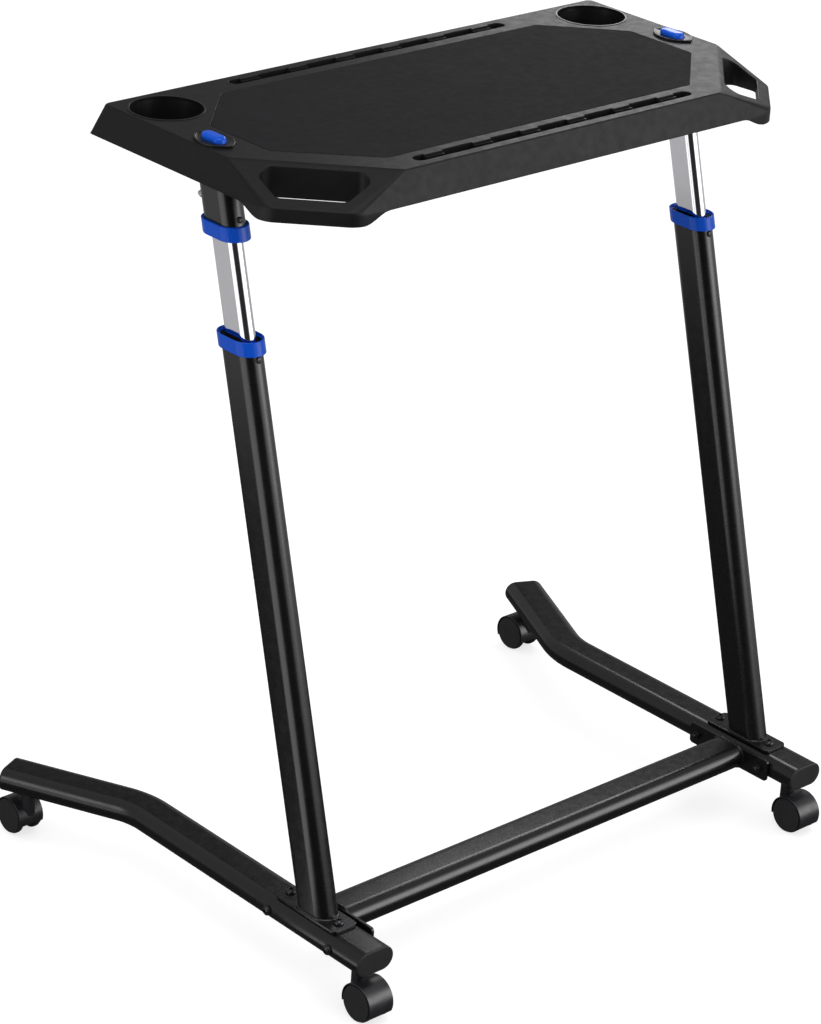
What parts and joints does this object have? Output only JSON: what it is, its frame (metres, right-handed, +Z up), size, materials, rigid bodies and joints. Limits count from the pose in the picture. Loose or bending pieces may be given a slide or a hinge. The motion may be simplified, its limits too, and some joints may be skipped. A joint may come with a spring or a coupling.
{
  "type": "bike trainer desk",
  "caption": "Height-adjustable desk on two leaning telescopic legs with casters, corner handles, cup holders, device slots and push-button leg locks",
  "frame": {"origin": "middle of the object's footprint, on the floor", "axes": "+X to the right along the desk's long edge, +Y from the crossbar and handle side to the cup holder side, +Z up"},
  "size_m": [0.9614, 0.6578, 1.0105],
  "materials": {
    "desk_moulding": "grained",
    "pad": "fine grain",
    "cup_plastic": "smooth",
    "satin_plastic": "satin",
    "blue_plastic": "glossy",
    "zinc_steel": "zinc plated",
    "powder_coat": "satin powder coat",
    "chrome_tube": "polished",
    "black_screw": "blackened",
    "end_cap": "matt",
    "hood_plastic": "satin",
    "wheel_plastic": "matt"
  },
  "bodies": {
    "base": {"crossbar": "powder_coat", "left_lower_tube": "powder_coat", "left_lower_collar": "blue_plastic", "left_lower_collar_screw": "black_screw", "left_foot": "powder_coat", "left_front_foot_cap": "end_cap", "left_front_caster_stem": "zinc_steel", "left_front_base_bolt": "black_screw", "left_front_crossbar_bolt": "black_screw", "left_back_foot_cap": "end_cap", "left_back_caster_stem": "zinc_steel", "left_back_base_bolt": "black_screw", "left_back_crossbar_bolt": "black_screw", "right_lower_tube": "powder_coat", "right_lower_collar": "blue_plastic", "right_lower_collar_screw": "black_screw", "right_foot": "powder_coat", "right_front_foot_cap": "end_cap", "right_front_caster_stem": "zinc_steel", "right_front_base_bolt": "black_screw", "right_front_crossbar_bolt": "black_screw", "right_back_foot_cap": "end_cap", "right_back_caster_stem": "zinc_steel", "right_back_base_bolt": "black_screw", "right_back_crossbar_bolt": "black_screw"},
    "desk": {"tabletop": "desk_moulding", "underside_cover": "desk_moulding", "non_slip_pad": "pad", "left_cup_liner": "cup_plastic", "left_button_bezel": "satin_plastic", "left_leg_bracket": "powder_coat", "left_upper_sleeve": "powder_coat", "left_upper_collar": "blue_plastic", "left_inner_tube": "chrome_tube", "left_upper_collar_screw": "black_screw", "left_sleeve_bolt": "zinc_steel", "right_cup_liner": "cup_plastic", "right_button_bezel": "satin_plastic", "right_leg_bracket": "powder_coat", "right_upper_sleeve": "powder_coat", "right_upper_collar": "blue_plastic", "right_inner_tube": "chrome_tube", "right_upper_collar_screw": "black_screw", "right_sleeve_bolt": "zinc_steel"},
    "left_release": {"left_release_button": "blue_plastic", "left_release_rod": "zinc_steel"},
    "left_lock": {"left_lock_shoe": "satin_plastic"},
    "left_front_caster": {"left_front_caster_hood": "hood_plastic"},
    "left_front_wheels": {"left_front_caster_wheels": "wheel_plastic"},
    "left_back_caster": {"left_back_caster_hood": "hood_plastic"},
    "left_back_wheels": {"left_back_caster_wheels": "wheel_plastic"},
    "right_release": {"right_release_button": "blue_plastic", "right_release_rod": "zinc_steel"},
    "right_lock": {"right_lock_shoe": "satin_plastic"},
    "right_front_caster": {"right_front_caster_hood": "hood_plastic"},
    "right_front_wheels": {"right_front_caster_wheels": "wheel_plastic"},
    "right_back_caster": {"right_back_caster_hood": "hood_plastic"},
    "right_back_wheels": {"right_back_caster_wheels": "wheel_plastic"}
  },
  "joints": [
    {"name": "height_slide", "type": "slide", "parent": "base", "child": "desk", "axis": [0, 0.2588, 0.9659], "range_m": [-0.112, 0.25]},
    {"name": "left_release_press", "type": "slide", "parent": "desk", "child": "left_release", "axis": [0, -0.2588, -0.9659], "range_m": [0, 0.006], "stiffness_N_per_m": 800, "springref_m": -0.012},
    {"name": "left_lock_draw", "type": "slide", "parent": "desk", "child": "left_lock", "axis": [0, 1, 0], "range_m": [0, 0.00194]},
    {"name": "left_front_swivel", "type": "hinge", "parent": "base", "child": "left_front_caster", "pos_m": [-0.3755, -0.2853, 0.055], "axis": [0, 0, 1], "continuous": true},
    {"name": "left_front_roll", "type": "hinge", "parent": "left_front_caster", "child": "left_front_wheels", "pos_m": [-0.3755, -0.303, 0.0242], "axis": [1, 0, 0], "continuous": true},
    {"name": "left_back_swivel", "type": "hinge", "parent": "base", "child": "left_back_caster", "pos_m": [-0.4437, 0.2853, 0.055], "axis": [0, 0, 1], "continuous": true},
    {"name": "left_back_roll", "type": "hinge", "parent": "left_back_caster", "child": "left_back_wheels", "pos_m": [-0.4437, 0.303, 0.0242], "axis": [1, 0, 0], "continuous": true},
    {"name": "right_release_press", "type": "slide", "parent": "desk", "child": "right_release", "axis": [0, -0.2588, -0.9659], "range_m": [0, 0.006], "stiffness_N_per_m": 800, "springref_m": -0.012},
    {"name": "right_lock_draw", "type": "slide", "parent": "desk", "child": "right_lock", "axis": [0, 1, 0], "range_m": [0, 0.00194]},
    {"name": "right_front_swivel", "type": "hinge", "parent": "base", "child": "right_front_caster", "pos_m": [0.3755, -0.2853, 0.055], "axis": [0, 0, 1], "continuous": true},
    {"name": "right_front_roll", "type": "hinge", "parent": "right_front_caster", "child": "right_front_wheels", "pos_m": [0.3755, -0.303, 0.0242], "axis": [1, 0, 0], "continuous": true},
    {"name": "right_back_swivel", "type": "hinge", "parent": "base", "child": "right_back_caster", "pos_m": [0.4437, 0.2853, 0.055], "axis": [0, 0, 1], "continuous": true},
    {"name": "right_back_roll", "type": "hinge", "parent": "right_back_caster", "child": "right_back_wheels", "pos_m": [0.4437, 0.303, 0.0242], "axis": [1, 0, 0], "continuous": true}
  ],
  "couplings": [
    {"joint": "left_lock_draw", "follows": "left_release_press", "ratio": 0.32198},
    {"joint": "right_lock_draw", "follows": "right_release_press", "ratio": 0.32198}
  ]
}
